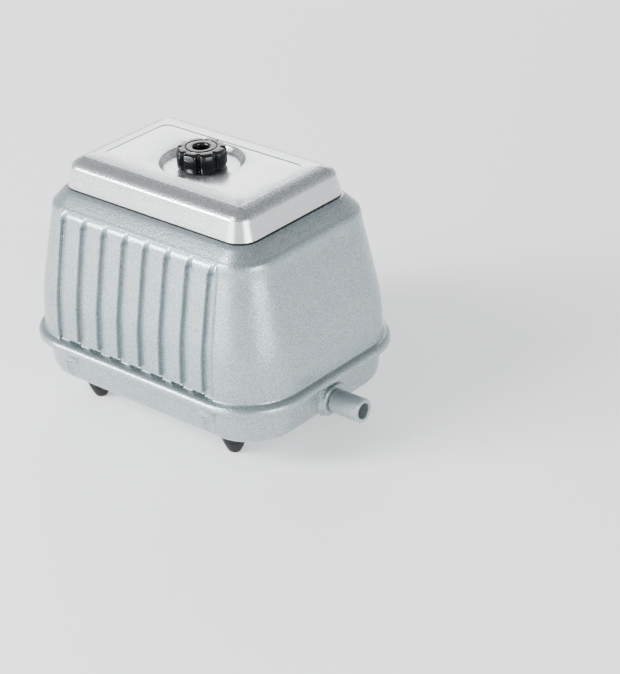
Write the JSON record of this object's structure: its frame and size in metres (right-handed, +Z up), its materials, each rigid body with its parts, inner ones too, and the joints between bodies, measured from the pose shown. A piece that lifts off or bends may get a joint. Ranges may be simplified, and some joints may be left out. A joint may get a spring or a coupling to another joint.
{
  "type": "air pump",
  "caption": "Linear diaphragm air pump in a ribbed cast housing on rubber feet, with a lift-off filter cover held by a hand knob and a side hose spigot.",
  "frame": {"origin": "middle of the whole pump's footprint, hose spigot included, at the soles of the feet", "axes": "+X towards the hose spigot, -Y the front ribbed face, +Z up"},
  "size_m": [0.2936, 0.198, 0.222],
  "materials": {
    "hammered_paint": "light blue-grey metallic hammered paint over cast aluminium",
    "cover_paint": "bright silver metallic hammered paint over cast aluminium",
    "spigot_paint": "satin grey paint",
    "black_gloss": "glossy black moulding",
    "black_rubber": "black rubber",
    "flap_rubber": "thin dark rubber",
    "black_plastic": "matt black moulding",
    "white_plastic": "off-white moulding",
    "head_plastic": "glass-filled dark grey moulding",
    "zinc_steel": "zinc-plated steel",
    "brass": "turned brass",
    "plain_aluminium": "plain pressed aluminium",
    "core_iron": "laminated electrical steel, blackened",
    "magnet": "ferrite",
    "copper_wire": null,
    "foam": "open-cell dark grey foam"
  },
  "bodies": {
    "pump": {"upper_housing": "hammered_paint", "intake_deck": "plain_aluminium", "lower_housing": "hammered_paint", "housing_gasket": "black_rubber", "housing_screws": "zinc_steel", "tank_gasket": "black_rubber", "tank_plate": "plain_aluminium", "tank_screws": "zinc_steel", "outlet_spigot": "spigot_paint", "spigot_seal": "black_rubber", "cord_gland": "black_plastic", "gland_nut": "black_plastic", "foot_front_left": "black_rubber", "foot_front_right": "black_rubber", "foot_back_left": "black_rubber", "foot_back_right": "black_rubber", "cover_stud": "zinc_steel", "pump_frame": "plain_aluminium", "core_front": "core_iron", "core_back": "core_iron", "bobbin_front": "white_plastic", "bobbin_back": "white_plastic", "coil_front": "copper_wire", "coil_back": "copper_wire", "diaphragm_left": "black_rubber", "diaphragm_right": "black_rubber", "head_left": "head_plastic", "head_right": "head_plastic", "head_cover_left": "head_plastic", "head_cover_right": "head_plastic", "head_screws_left": "zinc_steel", "head_screws_right": "zinc_steel", "outlet_hose_left": "black_rubber", "outlet_hose_right": "black_rubber", "vibration_mount_1": "black_rubber", "vibration_mount_2": "black_rubber", "vibration_mount_3": "black_rubber", "vibration_mount_4": "black_rubber", "mount_bolts": "zinc_steel", "terminal_block": "white_plastic"},
    "armature": {"armature_rod": "zinc_steel", "magnet_holder": "black_plastic", "magnets": "magnet", "diaphragm_discs_left": "plain_aluminium", "diaphragm_discs_right": "plain_aluminium", "rod_nut_left": "zinc_steel", "rod_nut_right": "zinc_steel"},
    "cover": {"filter_cover": "cover_paint", "cover_gasket": "black_rubber"},
    "filter": {"air_filter": "foam"},
    "knob_carrier": {"knob_washer": "zinc_steel"},
    "knob": {"knob": "black_gloss", "knob_insert": "brass"},
    "intake_flap_left": {"flap_intake_left": "flap_rubber"},
    "intake_flap_right": {"flap_intake_right": "flap_rubber"},
    "exhaust_flap_left": {"flap_exhaust_left": "flap_rubber"},
    "exhaust_flap_right": {"flap_exhaust_right": "flap_rubber"}
  },
  "joints": [
    {"name": "cover_lift", "type": "slide", "parent": "pump", "child": "cover", "axis": [0, 0, 1], "range_m": [0, 0.06]},
    {"name": "filter_lift", "type": "slide", "parent": "pump", "child": "filter", "axis": [0, 0, 1], "range_m": [0, 0.03]},
    {"name": "knob_rise", "type": "slide", "parent": "cover", "child": "knob_carrier", "axis": [0, 0, 1], "range_m": [0, 0.0125]},
    {"name": "knob_turn", "type": "hinge", "parent": "knob_carrier", "child": "knob", "pos_m": [-0.01175, 0, 0.2059], "axis": [0, 0, 1], "range_deg": [0, 3600]},
    {"name": "armature_slide", "type": "slide", "parent": "pump", "child": "armature", "axis": [1, 0, 0], "range_m": [-0.0025, 0.0025], "stiffness_N_per_m": 9000, "deforming": ["diaphragm_left", "diaphragm_right"]},
    {"name": "intake_flap_left_swing", "type": "hinge", "parent": "pump", "child": "intake_flap_left", "pos_m": [-0.0711, 0, 0.1355], "axis": [0, -1, 0], "range_deg": [0, 8], "stiffness_Nm_per_rad": 0.004},
    {"name": "exhaust_flap_left_swing", "type": "hinge", "parent": "pump", "child": "exhaust_flap_left", "pos_m": [-0.0764, 0, 0.1035], "axis": [0, 1, 0], "range_deg": [0, 8], "stiffness_Nm_per_rad": 0.004},
    {"name": "intake_flap_right_swing", "type": "hinge", "parent": "pump", "child": "intake_flap_right", "pos_m": [0.0476, 0, 0.1355], "axis": [0, 1, 0], "range_deg": [0, 8], "stiffness_Nm_per_rad": 0.004},
    {"name": "exhaust_flap_right_swing", "type": "hinge", "parent": "pump", "child": "exhaust_flap_right", "pos_m": [0.0529, 0, 0.1035], "axis": [0, -1, 0], "range_deg": [0, 8], "stiffness_Nm_per_rad": 0.004}
  ],
  "couplings": [
    {"joint": "filter_lift", "follows": "cover_lift", "ratio": 0.5},
    {"joint": "knob_rise", "follows": "knob_turn", "m_per_rad": 0.0001989}
  ]
}
